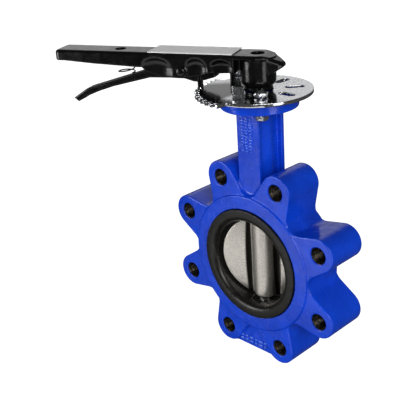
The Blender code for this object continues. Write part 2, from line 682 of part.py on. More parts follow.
def trigger(pivot):
    """The squeeze lever under the handle, with the pawl that rests in a notch."""
    home = shift(-PIVOT[0], 0, -PIVOT[2])
    loops = [[(x, y, z) for x, z in TRIGGER_SIDE] for y in (-TRIGGER_HALF, TRIGGER_HALF)]
    body = add("trigger", [moved(skin(loops), home)], pivot, "black_enamel")
    nose = [[(x, y, z) for x, z in TRIGGER_NOSE]
            for y in (-TRIGGER_NOSE_HALF, TRIGGER_NOSE_HALF)]
    combine(body, "UNION", "trigger_nose", [moved(skin(nose), home)])
    tooth = prism(rectangle(*PAWL, -PAWL_HALF, PAWL_HALF), PAWL_BOTTOM, PAWL_TOP)
    combine(body, "UNION", "pawl", [moved(tooth, home)])
    across = Matrix.Rotation(-math.pi / 2, 4, "X")
    hole = rod([(PIVOT_R + GAP, -TRIGGER_HALF - CUT), (PIVOT_R + GAP, TRIGGER_HALF + CUT)],
               SEGMENTS_SMALL)
    combine(body, "DIFFERENCE", "trigger_bore", [moved(hole, across)])


def trigger_top(x):
    """Height of the trigger's upper edge at a place along the lever."""
    (x1, z1), (x0, z0) = TRIGGER_SIDE[8], TRIGGER_SIDE[9]
    return z0 + (z1 - z0) * (x - x0) / (x1 - x0)


def trigger_spring(axis):
    steps = SPRING_STEPS * SPRING_TURNS
    clear = SPRING_WIRE_R + GAP
    bottom = trigger_top(SPRING_X - SPRING_R) + clear
    top = SPRING_TOP - SPRING_WIRE_R
    loops = []
    for i in range(steps + 1):
        share = i / steps
        turn = 2 * math.pi * SPRING_TURNS * share
        out = Vector((math.cos(turn), math.sin(turn), 0))
        centre = out * SPRING_R + Vector((SPRING_X, 0, bottom + (top - bottom) * share))
        loops.append([tuple(centre + out * a + Vector((0, 0, b)))
                      for a, b in circle(SPRING_WIRE_R, WIRE_SIDES)])
    add("trigger_spring", [skin(loops)], axis, "spring_steel")


def main():
    clear_scene()
    centre = empty("bore_centre", location=(0, 0, BORE_HEIGHT))
    stem_axis = empty("stem_axis", centre, turn=REST_ANGLE)
    lever_axis = empty("lever_axis", stem_axis, turn=math.pi)
    trigger_pivot = empty("trigger_pivot", lever_axis, location=PIVOT)
    body_casting(centre)
    seat_liner(centre)
    stem_fittings(centre)
    notch_plate(centre)
    plate_fixings(centre)
    disc(stem_axis)
    stems(stem_axis)
    lever(lever_axis)
    lever_fittings(lever_axis)
    trigger(trigger_pivot)
    trigger_spring(lever_axis)


main()
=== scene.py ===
"""Looks of the lug-type butterfly valve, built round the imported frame.

Cast and forged pieces are surfaces of distance fields: their fillets and rounded edges
come from smooth unions, as sand casting leaves them.  Turned, stamped and threaded
pieces are skinned from their profiles.  Lengths are metres.
"""
import json
import math

import bpy
import numpy as np
from mathutils import Matrix, Vector


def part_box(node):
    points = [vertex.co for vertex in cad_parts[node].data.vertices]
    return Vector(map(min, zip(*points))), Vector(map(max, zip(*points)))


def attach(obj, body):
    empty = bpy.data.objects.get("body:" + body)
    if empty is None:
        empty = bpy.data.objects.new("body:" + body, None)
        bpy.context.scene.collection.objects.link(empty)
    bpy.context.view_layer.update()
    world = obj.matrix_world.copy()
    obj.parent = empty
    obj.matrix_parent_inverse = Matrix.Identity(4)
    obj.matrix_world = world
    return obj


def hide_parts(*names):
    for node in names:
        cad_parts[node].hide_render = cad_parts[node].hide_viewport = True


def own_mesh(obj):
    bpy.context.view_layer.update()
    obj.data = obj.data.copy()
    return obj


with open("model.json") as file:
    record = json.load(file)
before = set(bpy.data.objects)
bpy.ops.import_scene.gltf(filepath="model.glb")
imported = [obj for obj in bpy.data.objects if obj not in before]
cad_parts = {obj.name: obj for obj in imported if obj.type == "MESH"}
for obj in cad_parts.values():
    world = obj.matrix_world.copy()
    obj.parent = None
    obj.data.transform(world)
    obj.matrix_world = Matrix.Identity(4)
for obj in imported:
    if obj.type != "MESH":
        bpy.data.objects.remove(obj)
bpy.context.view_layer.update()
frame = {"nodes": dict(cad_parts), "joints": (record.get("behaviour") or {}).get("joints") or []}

MM = 0.001


# ---------------------------------------------------------------- places, from the frame
def middle(node):
    low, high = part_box(node)
    return (low + high) / 2


JOINTS = {joint["name"]: joint for joint in frame["joints"]}
BORE = Matrix.Translation((0, 0, middle("seat_liner").z))
PIVOT_POINT = Vector(JOINTS["trigger_squeeze"]["pos_m"])
LEVER_TURN = math.atan2(PIVOT_POINT.y, PIVOT_POINT.x)
DISC_TURN = LEVER_TURN + math.pi
LEVER = BORE @ Matrix.Rotation(LEVER_TURN, 4, "Z")
PIVOT_X = math.hypot(PIVOT_POINT.x, PIVOT_POINT.y)
PIVOT_Z = PIVOT_POINT.z - BORE.translation.z


def heights(node):
    """Lowest and highest point of a node, above the bore's centre."""
    low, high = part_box(node)
    return low.z - BORE.translation.z, high.z - BORE.translation.z


# ---------------------------------------------------------------- driving dimensions
PITCH_R = 80 * MM              # bolt circle of the lugs
LUG_COUNT = 8
LUG_R = 14.8 * MM
LUG_HALF = 19.8 * MM
LUG_FLARE = math.radians(12)
LUG_HOLE_R = 7.5 * MM
RING_R = 63 * MM
RING_HALF = 21.3 * MM
RING_CROWN = 2 * MM
SEAT_R = 50.9 * MM             # recess that the rubber lip sits in
FACE_HALF = 23 * MM
BORE_R = 39.5 * MM
WEB_HALF_X = 28.5 * MM
WEB_HALF_Y = 17.2 * MM
NECK_HALF_X = 12.3 * MM
NECK_HALF_Y = 16 * MM
NECK_PLATE = 3.8 * MM
NECK_BARREL_R = 11.2 * MM
FLANGE_R = 32.5 * MM
FLANGE_PITCH_R = 25 * MM
FLANGE_HOLE_R = 3.4 * MM
STEM_R = 6.5 * MM
DISC_BOSS_R = 10.2 * MM
FLANGE_BOTTOM = heights("plate_nut_1")[1] + 0.3 * MM
FLANGE_TOP = heights("body_casting")[1]
LEVER_TOP = heights("lever")[1]
LEVER_SHEET = 3 * MM
HUB_LOW = 155.8 * MM


# ---------------------------------------------------------------- fields of distance
def blend_min(a, b, radius):
    """Union of two fields with a fillet."""
    h = np.maximum(radius - np.abs(a - b), 0) / radius
    return np.minimum(a, b) - h * h * radius / 4


def blend_max(a, b, radius):
    """Intersection of two fields with a rounded edge."""
    return -blend_min(-a, -b, radius)


def slab(across, half, flat, edge):
    """A flat shape given a thickness, with its edges rounded."""
    a = flat + edge
    b = np.abs(across) - half + edge
    return np.minimum(np.maximum(a, b), 0) + np.hypot(np.maximum(a, 0), np.maximum(b, 0)) - edge


def box_2d(u, v, half_u, half_v):
    return slab(v, half_v, np.abs(u) - half_u, 0.0)


def polygon(points, u, v):
    """Signed distance to the outline of a polygon."""
    nearest = None
    inside = False
    for (u0, v0), (u1, v1) in zip(points, points[1:] + points[:1]):
        du, dv = u1 - u0, v1 - v0
        share = np.clip(((u - u0) * du + (v - v0) * dv) / (du * du + dv * dv), 0, 1)
        distance = np.hypot(u - u0 - share * du, v - v0 - share * dv)
        nearest = distance if nearest is None else np.minimum(nearest, distance)
        crosses = (v0 > v) != (v1 > v)
        side = u < u0 + (v - v0) * (du / dv if dv else 0)
        inside = inside ^ (crosses & side)
    return np.where(inside, -nearest, nearest)


def surface_net(field, low, high, step):
    """Vertices and quads of the surface where a field is zero."""
    axes = [np.arange(a, b + step, step) for a, b in zip(low, high)]
    x, y, z = np.meshgrid(*axes, indexing="ij", sparse=True)
    shape = tuple(len(a) for a in axes)
    values = np.ascontiguousarray(np.broadcast_to(field(x, y, z), shape), np.float32)
    inside = values < 0
    cell_shape = tuple(n - 1 for n in shape)
    count = np.zeros(cell_shape, np.int8)
    corners = [(i, j, k) for i in (0, 1) for j in (0, 1) for k in (0, 1)]
    for i, j, k in corners:
        count += inside[i:i + cell_shape[0], j:j + cell_shape[1], k:k + cell_shape[2]]
    cells = np.argwhere((count > 0) & (count < 8))
    total = np.zeros((len(cells), 3))
    hits = np.zeros(len(cells))
    for corner in corners:
        for axis in range(3):
            if corner[axis]:
                continue
            start = cells + corner
            a = values[tuple(start.T)]
            end = start.copy()
            end[:, axis] += 1
            b = values[tuple(end.T)]
            crossing = (a < 0) != (b < 0)
            share = np.where(crossing, a / np.where(crossing, a - b, 1), 0)
            point = start.astype(float)
            point[:, axis] += share
            total += point * crossing[:, None]
            hits += crossing
    verts = np.array(low) + total / hits[:, None] * step
    number = np.full(cell_shape, -1, np.int64)
    number[tuple(cells.T)] = np.arange(len(cells))
    quads = []
    for axis in range(3):
        one, two = (axis + 1) % 3, (axis + 2) % 3
        head = [slice(None)] * 3
        tail = [slice(None)] * 3
        head[axis] = slice(None, -1)
        tail[axis] = slice(1, None)
        a, b = inside[tuple(head)], inside[tuple(tail)]
        for edges, outward in ((np.argwhere(a & ~b), True), (np.argwhere(~a & b), False)):
            around = []
            for d1, d2 in ((-1, -1), (0, -1), (0, 0), (-1, 0)):
                cell = edges.copy()
                cell[:, one] += d1
                cell[:, two] += d2
                around.append(number[tuple(cell.T)])
            quads.append(np.stack(around if outward else around[::-1], 1))
    return verts, np.concatenate(quads)


def slope(field, points):
    """Value and unit gradient of a field at points."""
    x, y, z = points.T
    reach = 0.02 * MM
    grad = np.stack([field(x + reach, y, z) - field(x - reach, y, z),
                     field(x, y + reach, z) - field(x, y - reach, z),
                     field(x, y, z + reach) - field(x, y, z - reach)], 1) / (2 * reach)
    size = np.maximum(np.linalg.norm(grad, axis=1, keepdims=True), 0.3)
    return field(x, y, z)[:, None] / size, grad / size


def onto_surface(field, points, step):
    """Moves points onto the field's surface in three rounds, each by at most one step."""
    for _ in range(3):
        value, normal = slope(field, points)
        points = points - np.clip(value, -step, step) * normal
    return points


def cast(name, field, low, high, step, keep, place):
    """A piece whose shape is a field; keep is the share of faces left after thinning."""
    verts, quads = surface_net(field, low, high, step)
    verts = onto_surface(field, verts, step / 2)
    mesh = bpy.data.meshes.new(name)
    mesh.from_pydata(verts, [], quads)
    piece = link(name, mesh)
    thin = piece.modifiers.new("thin", "DECIMATE")
    thin.ratio = keep
    apply_modifiers(piece)
    mesh = piece.data
    co = np.empty(len(mesh.vertices) * 3)
    mesh.vertices.foreach_get("co", co)
    verts = onto_surface(field, co.reshape(-1, 3), step / 4)
    _, normals = slope(field, verts)
    mesh.vertices.foreach_set("co", verts.ravel())
    mesh.shade_smooth()
    mesh.normals_split_custom_set_from_vertices(normals)
    mesh.transform(place)
    return piece


# ---------------------------------------------------------------- meshes
def link(name, mesh):
    piece = bpy.data.objects.new(name, mesh)
    bpy.context.scene.collection.objects.link(piece)
    return piece


def apply_modifiers(piece):
    bpy.context.view_layer.update()
    graph = bpy.context.evaluated_depsgraph_get()
    mesh = bpy.data.meshes.new_from_object(piece.evaluated_get(graph))
    piece.modifiers.clear()
    piece.data = mesh


def circle(radius, count):
    return [(radius * math.cos(2 * math.pi * i / count),
             radius * math.sin(2 * math.pi * i / count)) for i in range(count)]


def arc(centre, radius, start, end, steps):
    return [(centre[0] + radius * math.cos(start + (end - start) * i / steps),
             centre[1] + radius * math.sin(start + (end - start) * i / steps))
            for i in range(steps + 1)]


def skin(loops, closed=False):
    """Vertices and faces skinned over equal loops of points; closed joins last to first."""
    count = len(loops[0])
    verts = [tuple(point) for loop in loops for point in loop]
    faces = []
    for i in range(len(loops) if closed else len(loops) - 1):
        a = i * count
        b = ((i + 1) % len(loops)) * count
        for j in range(count):
            k = (j + 1) % count
            faces.append((a + j, a + k, b + k, b + j))
    if not closed:
        faces.append(tuple(reversed(range(count))))
        faces.append(tuple(range(len(verts) - count, len(verts))))
    return verts, faces


def revolve(profile, count, closed=True):
    """Points of a profile of (radius, height), turned round Z."""
    loops = [[(x, y, z) for x, y in circle(radius, count)] for radius, z in profile]
    return skin(loops, closed)


def build(name, bodies, place, sharp=35):
    """One piece made of closed bodies, each given as vertices and faces."""
    verts, faces = [], []
    for body_verts, body_faces in bodies:
        start = len(verts)
        verts.extend(body_verts)
        faces.extend(tuple(start + i for i in face) for face in body_faces)
    mesh = bpy.data.meshes.new(name)
    mesh.from_pydata(verts, [], faces)
    if signed_volume(mesh) < 0:
        mesh.flip_normals()
    mesh.transform(place)
    mesh.shade_smooth()
    mesh.set_sharp_from_angle(angle=math.radians(sharp))
    return link(name, mesh)


def signed_volume(mesh):
    mesh.calc_loop_triangles()
    total = 0.0
    for triangle in mesh.loop_triangles:
        a, b, c = (mesh.vertices[i].co for i in triangle.vertices)
        total += a.dot(b.cross(c))
    return total


def flat_solid(name, outlines, low, high, bevel, place):
    """A stamped shape: outlines (the first outside, then holes) with rounded edges."""
    curve = bpy.data.curves.new(name, "CURVE")
    curve.dimensions = "2D"
    curve.fill_mode = "BOTH"
    curve.extrude = (high - low) / 2 - bevel
    curve.bevel_depth = bevel
    curve.bevel_resolution = 2
    curve.offset = -bevel
    for points in outlines:
        spline = curve.splines.new("POLY")
        spline.points.add(len(points) - 1)
        spline.use_cyclic_u = True
        for point, (x, y) in zip(spline.points, points):
            point.co = (x, y, 0, 1)
    piece = link(name, curve)
    bpy.context.view_layer.update()
    graph = bpy.context.evaluated_depsgraph_get()
    mesh = bpy.data.meshes.new_from_object(piece.evaluated_get(graph))
    bpy.data.objects.remove(piece)
    mesh.transform(place @ Matrix.Translation((0, 0, (low + high) / 2)))
    mesh.shade_smooth()
    mesh.set_sharp_from_angle(angle=math.radians(40))
    return link(name, mesh)


def join(target, others):
    """Joins pieces into the first one."""
    chosen = [target, *others]
    with bpy.context.temp_override(active_object=target, selected_editable_objects=chosen):
        bpy.ops.object.join()


def dress(piece, body, slot, material, *nodes):
    """Gives a piece its material and the body it rides on, and hides the nodes it stands for; slot
    is not used.
    """
    piece.data.materials.clear()
    piece.data.materials.append(material)
    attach(piece, body)
    if nodes:
        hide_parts(*nodes)
    return piece


# ---------------------------------------------------------------- materials
class Finish:
    """A Principled material whose colour, roughness and relief come from noise."""

    def __init__(self, name, metallic=0.0, turn=0.0, stretch=(1, 1, 1)):
        self.material = bpy.data.materials.new(name)
        self.material.use_nodes = True
        self.nodes = self.material.node_tree.nodes
        self.links = self.material.node_tree.links
        self.shader = self.nodes["Principled BSDF"]
        self.shader.inputs["Metallic"].default_value = metallic
        place = self.nodes.new("ShaderNodeTexCoord")
        self.mapping = self.nodes.new("ShaderNodeMapping")
        self.mapping.vector_type = "POINT"
        self.mapping.inputs["Rotation"].default_value = (0, 0, -turn)
        self.mapping.inputs["Scale"].default_value = stretch
        self.links.new(place.outputs["Object"], self.mapping.inputs["Vector"])
        self.normal = None

    def set(self, **values):
        for socket, value in values.items():
            self.shader.inputs[socket.replace("_", " ")].default_value = value
        return self

    def noise(self, size, detail=2.0):
        """Noise whose grains are about one size across."""
        texture = self.nodes.new("ShaderNodeTexNoise")
        texture.inputs["Scale"].default_value = 1 / size
        texture.inputs["Detail"].default_value = detail
        self.links.new(self.mapping.outputs["Vector"], texture.inputs["Vector"])
        return texture.outputs["Fac"]

    def spread(self, source, low, high, start=0.35, end=0.65):
        scale = self.nodes.new("ShaderNodeMapRange")
        scale.inputs["From Min"].default_value = start
        scale.inputs["From Max"].default_value = end
        scale.inputs["To Min"].default_value = low
        scale.inputs["To Max"].default_value = high
        self.links.new(source, scale.inputs["Value"])
        return scale.outputs["Result"]

    def colour(self, dark, light, size, detail=2.0, start=0.35, end=0.65):
        share = self.spread(self.noise(size, detail), 0, 1, start, end)
        mix = self.nodes.new("ShaderNodeMix")
        mix.data_type = "RGBA"
        mix.inputs["A"].default_value = (*dark, 1)
        mix.inputs["B"].default_value = (*light, 1)
        self.links.new(share, mix.inputs["Factor"])
        self.links.new(mix.outputs["Result"], self.shader.inputs["Base Color"])
        return self

    def combine(self, operation, a, b=0.0):
        step = self.nodes.new("ShaderNodeMath")
        step.operation = operation
        for socket, value in zip(step.inputs, (a, b)):
            if isinstance(value, float):
                socket.default_value = value
            else:
                self.links.new(value, socket)
        return step.outputs["Value"]

    def paint_shade(self, colour, limits, reach):
        """Paints a darker colour, as painted shade, past each (direction, start, end) in plan,
        within the reach.
        """
        split = self.nodes.new("ShaderNodeSeparateXYZ")
        self.links.new(self.mapping.outputs["Vector"], split.inputs["Vector"])
        x, y = split.outputs["X"], split.outputs["Y"]
        square = self.combine("ADD", self.combine("MULTIPLY", x, x), self.combine("MULTIPLY", y, y))
        radius = self.combine("SQRT", square)
        share = self.spread(radius, 1, 0, reach - 0.8 * MM, reach)
        for (a, b), start, end in limits:
            along = self.combine("ADD", self.combine("MULTIPLY", x, float(a)),
                                 self.combine("MULTIPLY", y, float(b)))
            share = self.combine("MULTIPLY", share, self.spread(along, 0, 1, start, end))
        mix = self.nodes.new("ShaderNodeMix")
        mix.data_type = "RGBA"
        mix.inputs["B"].default_value = (*colour, 1)
        base = self.shader.inputs["Base Color"]
        self.links.new(base.links[0].from_socket, mix.inputs["A"])
        self.links.new(share, mix.inputs["Factor"])
        self.links.new(mix.outputs["Result"], base)
        return self

    def roughness(self, low, high, size, detail=2.0):
        self.links.new(self.spread(self.noise(size, detail), low, high),
                       self.shader.inputs["Roughness"])
        return self

    def relief(self, size, depth, detail=1.0):
        bump = self.nodes.new("ShaderNodeBump")
        bump.inputs["Distance"].default_value = depth
        self.links.new(self.noise(size, detail), bump.inputs["Height"])
        if self.normal:
            self.links.new(self.normal, bump.inputs["Normal"])
        self.normal = bump.outputs["Normal"]
        self.links.new(self.normal, self.shader.inputs["Normal"])
        return self


def blue_enamel():
    finish = Finish("blue_enamel").set(Specular_IOR_Level=0.42)
    finish.colour((0.0020, 0.046, 0.55), (0.0040, 0.064, 0.71), 22 * MM, 4)
    finish.roughness(0.16, 0.30, 9 * MM, 4)
    finish.relief(5 * MM, 0.18 * MM, 2)
    return finish.relief(0.8 * MM, 0.02 * MM).material


def painted_highlight_enamel():
    """The same blue, painted lighter on the raised marks as a painted highlight, where they would
    catch the light.
    """
    finish = Finish("painted_highlight_enamel").set(Specular_IOR_Level=0.8)
    # The lighter blue here is a painted highlight on the raised marks.
    finish.colour((0.010, 0.075, 0.62), (0.060, 0.170, 0.86), 3 * MM, 3)
    return finish.roughness(0.16, 0.30, 4 * MM).material


def black_rubber():
    finish = Finish("black_rubber").set(Specular_IOR_Level=0.35)
    finish.colour((0.0040, 0.0037, 0.0033), (0.0085, 0.0079, 0.0070), 6 * MM, 5)
    finish.roughness(0.26, 0.38, 5 * MM, 3)
    return finish.relief(0.35 * MM, 0.012 * MM).material


def nickel():
    """Satin nickel, with dark bands painted beside the boss: painted shade and painted reflection
    for the grooves there.
    """
    finish = Finish("nickel", metallic=0.92)
    finish.colour((0.40, 0.375, 0.335), (0.84, 0.80, 0.735), 0.6 * MM, 3, 0.36, 0.60)
    finish.roughness(0.32, 0.44, 0.9 * MM, 2)
    # The near-black colour painted in bands beside the boss is painted shade and a painted dark
    # reflection in the grooves.
    painted_groove_shade = (0.012, 0.010, 0.008)
    for side in (-1, 1):
        inner_edge = ((side, 0), 9.6 * MM, 10.4 * MM)
        outer_edge = ((-side, 0), -14.6 * MM, -13.2 * MM)
        finish.paint_shade(painted_groove_shade, [inner_edge, outer_edge], 39 * MM)
    finish.relief(4 * MM, 0.10 * MM, 2)
    return finish.relief(0.7 * MM, 0.09 * MM, 2).material


def bright_steel():
    finish = Finish("bright_steel", metallic=1.0, stretch=(1, 1, 12))
    finish.colour((0.50, 0.51, 0.53), (0.72, 0.73, 0.75), 3 * MM, 3)
    finish.roughness(0.18, 0.34, 1.5 * MM, 3)
    return finish.relief(0.8 * MM, 0.01 * MM).material


def thread_in_painted_shade():
    # The near-black thread colour is painted shade for the inside of the tapped holes.
    finish = Finish("thread_in_painted_shade", metallic=0.8)
    finish.colour((0.004, 0.0035, 0.003), (0.060, 0.048, 0.032), 2.2 * MM, 4, 0.42, 0.68)
    return finish.roughness(0.22, 0.40, 1.2 * MM).relief(0.4 * MM, 0.03 * MM).material


def zinc_plate():
    """Bright zinc, with a dark band painted along the notches on the lever's side: painted shade
    and painted reflection of the lever above.
    """
    finish = Finish("zinc_plate", metallic=1.0)
    finish.colour((0.46, 0.47, 0.49), (0.78, 0.78, 0.80), 1.3 * MM, 5, 0.40, 0.60)
    finish.roughness(0.07, 0.20, 1.1 * MM, 4)
    # The dark colour painted along the notches under the lever is painted shade and a painted
    # reflection of the black lever.
    painted_lever_shade = (0.035, 0.033, 0.036)
    lever_side = ((-1, 0), 2 * MM, 8 * MM)
    near_side = ((0.67, -0.74), -30 * MM, -18 * MM)
    finish.paint_shade(painted_lever_shade, [lever_side, near_side], 48.6 * MM)
    return finish.relief(1.4 * MM, 0.010 * MM, 3).material


def bronze():
    finish = Finish("bronze", metallic=1.0, stretch=(1, 1, 20))
    finish.colour((0.34, 0.20, 0.08), (0.52, 0.34, 0.15), 4 * MM, 3)
    return finish.roughness(0.26, 0.42, 2 * MM).relief(0.6 * MM, 0.01 * MM).material


def black_enamel():
    finish = Finish("black_enamel").set(Specular_IOR_Level=0.34)
    finish.colour((0.0015, 0.0015, 0.0016), (0.0032, 0.0032, 0.0034), 15 * MM, 3)
    finish.roughness(0.13, 0.24, 7 * MM, 4)
    finish.relief(6 * MM, 0.16 * MM, 2)
    return finish.relief(0.9 * MM, 0.012 * MM).material


def label_metal():
    finish = Finish("label_metal", metallic=0.30, turn=LEVER_TURN, stretch=(1, 14, 1))
    finish.colour((0.88, 0.88, 0.88), (0.97, 0.97, 0.96), 9 * MM, 4)
    return finish.roughness(0.34, 0.48, 3 * MM, 3).relief(1.5 * MM, 0.012 * MM).material


def spring_steel():
    finish = Finish("spring_steel", metallic=0.9)
    finish.colour((0.020, 0.020, 0.022), (0.060, 0.060, 0.065), 2 * MM)
    return finish.roughness(0.25, 0.40, 1.5 * MM).relief(0.5 * MM, 0.01 * MM).material


# ---------------------------------------------------------------- body casting
PITCH = 2 * math.pi / LUG_COUNT


def fold(x, z):
    """Radius, and the angle from the middle of the nearest lug."""
    return np.hypot(x, z), np.abs(np.mod(np.arctan2(z, x), PITCH) - PITCH / 2)


def lug_plan(radius, turn):
    """Round ends on the bolt circle, with straight flanks that flare to the ring."""
    c, s = math.cos(LUG_FLARE), math.sin(LUG_FLARE)
    plans = []
    for angle in (turn, PITCH - turn):
        u = radius * np.cos(angle) - PITCH_R
        v = radius * np.sin(angle)
        plans.append(np.where(v * s > u * c, u * s + v * c, np.hypot(u, v)) - LUG_R)
    return blend_min(*plans, 6 * MM)


def neck(x, y, z):
    """Front and back plates, and a ridged core between them."""
    base, top = RING_R - 6 * MM, FLANGE_BOTTOM + 2 * MM
    rise, half = z - (base + top) / 2, (top - base) / 2
    plate = slab(np.abs(y) - NECK_HALF_Y + NECK_PLATE / 2, NECK_PLATE / 2,
                 box_2d(x, rise, NECK_HALF_X, half), 0.9 * MM)
    ridge = NECK_BARREL_R * 0.66
    core_plan = [(-ridge, -NECK_HALF_X), (ridge, -NECK_HALF_X), (NECK_BARREL_R, 0),
                 (ridge, NECK_HALF_X), (-ridge, NECK_HALF_X), (-NECK_BARREL_R, 0)]
    core = np.maximum(polygon(core_plan, x, y), np.abs(rise) - half)
    return blend_min(plate, core, 1.2 * MM)


def stem_bores(x, y, z):
    """Bores for the bushes, and the recess under the notch plate."""
    spindle = np.hypot(x, y)
    recess_floor = heights("thrust_washer")[0] - 0.3 * MM
    lower_end = heights("lower_bush")[0] - 1.5 * MM
    bush_r, recess_r = 8.8 * MM, 17.5 * MM
    upper = np.maximum(spindle - bush_r, 40 * MM - z)
    lower = np.maximum(np.maximum(spindle - bush_r, z + 40 * MM), lower_end - z)
    recess = np.maximum(spindle - recess_r, recess_floor - z)
    quarter = FLANGE_PITCH_R / math.sqrt(2)
    drill = np.hypot(np.abs(x) - quarter, np.abs(y) - quarter) - FLANGE_HOLE_R
    holes = np.maximum(drill, FLANGE_BOTTOM - 3 * MM - z)
    return np.minimum(np.minimum(upper, lower), np.minimum(recess, holes))


def casting(x, y, z):
    radius, turn = fold(x, z)
    depth = np.abs(y)
    crown = RING_CROWN * (1 - np.minimum(depth / (RING_HALF * 0.75), 1) ** 2)
    ring = blend_max(radius - RING_R - crown, depth - RING_HALF, 1.1 * MM)
    star = blend_min(lug_plan(radius, turn), radius - RING_R, 6 * MM)
    body = blend_min(ring, slab(y, LUG_HALF, star, 1.1 * MM), 0.9 * MM)
    web_low, web_high = 1.5 * MM - BORE.translation.z, -RING_R + 6 * MM
    web_plan = box_2d(x, z - (web_low + web_high) / 2, WEB_HALF_X, (web_high - web_low) / 2)
    body = blend_min(body, slab(y, WEB_HALF_Y, web_plan, 1 * MM), 2.5 * MM)
    body = blend_min(body, neck(x, y, z), 2.2 * MM)
    flange_half = (FLANGE_TOP - FLANGE_BOTTOM) / 2
    flange = slab(z - FLANGE_BOTTOM - flange_half, flange_half,
                  np.hypot(x, y) - FLANGE_R, 0.9 * MM)
    body = blend_min(body, flange, 2.5 * MM)
    seat = np.minimum(np.maximum(radius - SEAT_R, 18 * MM - depth), radius - 46 * MM)
    holes = np.hypot(radius * np.cos(turn) - PITCH_R, radius * np.sin(turn)) - LUG_HOLE_R
    cuts = np.minimum(np.minimum(seat, holes), stem_bores(x, y, z))
    return blend_max(body, -cuts, 0.7 * MM)


def make_casting(enamel):
    reach = PITCH_R * math.cos(PITCH / 2) + LUG_R + 2 * MM
    floor = -BORE.translation.z - 1 * MM
    depth = FLANGE_R + 1.5 * MM
    high = (reach, depth, FLANGE_TOP + depth / 20)
    piece = cast("cast_body", casting, (-reach, -depth, floor), high, 0.8 * MM, 0.45, BORE)
    dress(piece, "body", "blue_enamel", enamel, "body_casting")


def threaded_sleeve(crest, root, outer, half, pitch, mouth):
    """A tapped hole's wall: an inner thread with a countersink at each end."""
    count = 36
    steps = round(2 * half / (pitch / 6))
    loops = []
    for i in range(steps + 1):
        z = -half + 2 * half * i / steps
        loop = []
        for x, y in circle(1, count):
            phase = (z / pitch - math.atan2(y, x) / (2 * math.pi)) % 1
            radius = crest + (root - crest) * min(1, max(0, 2.4 * abs(phase - 0.5) - 0.1))
            radius = max(radius, mouth - (half - abs(z)))
            loop.append((radius * x, radius * y, z))
        loops.append(loop)
    for z in (half, -half):
        loops.append([(outer * x, outer * y, z) for x, y in circle(1, count)])
    return skin(loops, closed=True)


def make_threads(metal):
    crest, root, outer = 6.2 * MM, 7.2 * MM, LUG_HOLE_R + 0.15 * MM
    half, pitch, mouth = LUG_HALF - 1.1 * MM, 2 * MM, 7.3 * MM
    sleeve_verts, faces = threaded_sleeve(crest, root, outer, half, pitch, mouth)
    along_pipe = Matrix.Rotation(math.pi / 2, 4, "X")
    sleeves = []
    for i in range(LUG_COUNT):
        angle = (i + 0.5) * PITCH
        place = Matrix.Translation((PITCH_R * math.cos(angle), 0, PITCH_R * math.sin(angle)))
        sleeves.append(([tuple(place @ along_pipe @ Vector(v)) for v in sleeve_verts], faces))
    piece = build("lug_threads", sleeves, BORE, 60)
    dress(piece, "body", "steel", metal)


# ---------------------------------------------------------------- liner
def make_liner(rubber):
    """A moulded sleeve with a wide, rounded lip on each pipe face."""
    lip_r, back = 50.5 * MM, 45.7 * MM
    under_lip = 18.3 * MM
    edge, nose_r, nose_depth = 0.6 * MM, 5.2 * MM, 5.0 * MM
    quarter = math.pi / 2
    side = [(BORE_R, 0), (BORE_R, FACE_HALF - nose_depth)]
    side += [(BORE_R + nose_r * (1 - math.cos(a)), FACE_HALF - nose_depth * (1 - math.sin(a)))
             for a in (quarter * i / 12 for i in range(1, 13))]
    side += arc((lip_r - edge, FACE_HALF - edge), edge, quarter, 0, 5)
    side += [(lip_r, under_lip), (back, under_lip)]
    profile = side + [(radius, -depth) for radius, depth in side[:0:-1]]
    piece = build("rubber_liner", [revolve(profile, 160)],
                  BORE @ Matrix.Rotation(math.pi / 2, 4, "X"), 50)
    hole_r = STEM_R + 0.3 * MM
    bore = build("stem_hole_cutter", [revolve([(hole_r, -52 * MM), (hole_r, 52 * MM)], 32, False)],
                 BORE)
    cut = piece.modifiers.new("stem_holes", "BOOLEAN")
    cut.solver = "EXACT"
    cut.operation = "DIFFERENCE"
    cut.object = bore
    apply_modifiers(piece)
    bpy.data.objects.remove(bore)
    dress(piece, "body", "black_rubber", rubber, "seat_liner")


# ---------------------------------------------------------------- disc
def disc_shape(x, y, z):
    """A lens with a stem boss across it and a groove along each side of the boss."""
    radius = np.hypot(x, z)
    edge, centre, rim = 2.2 * MM, 4.8 * MM, 39.1 * MM
    share = np.minimum(radius / rim, 1)
    half = centre + (edge - centre) * share ** 2
    lens = blend_max(radius - rim, np.abs(y) - half, 1.4 * MM)
    boss_half = 37.0 * MM
    boss = blend_max(np.hypot(x, y) - DISC_BOSS_R, np.abs(z) - boss_half, 1.2 * MM)
    groove_x, groove_y, groove_r = 12.6 * MM, 4.6 * MM, 2.8 * MM
    groove = np.hypot(np.abs(x) - groove_x, np.abs(y) - groove_y) - groove_r
    body = blend_max(blend_min(lens, boss, 0.6 * MM), -groove, 0.8 * MM)
    spindle = np.hypot(x, y) - STEM_R - 0.2 * MM
    stems = np.maximum(spindle, 24 * MM - z)
    lower = np.maximum(spindle, z + 6 * MM)
    return blend_max(body, -np.minimum(stems, lower), 0.5 * MM)


def make_disc(metal):
    reach, depth = 40 * MM, DISC_BOSS_R + 1.3 * MM
    piece = cast("disc_plate", disc_shape, (-reach, -depth, -reach), (reach, depth, reach),
                 0.55 * MM, 0.5, BORE @ Matrix.Rotation(DISC_TURN, 4, "Z"))
    dress(piece, "rotor", "nickel", metal, "disc")


# ---------------------------------------------------------------- notch plate
def polar(points):
    return [(radius * math.cos(angle), radius * math.sin(angle)) for radius, angle in points]


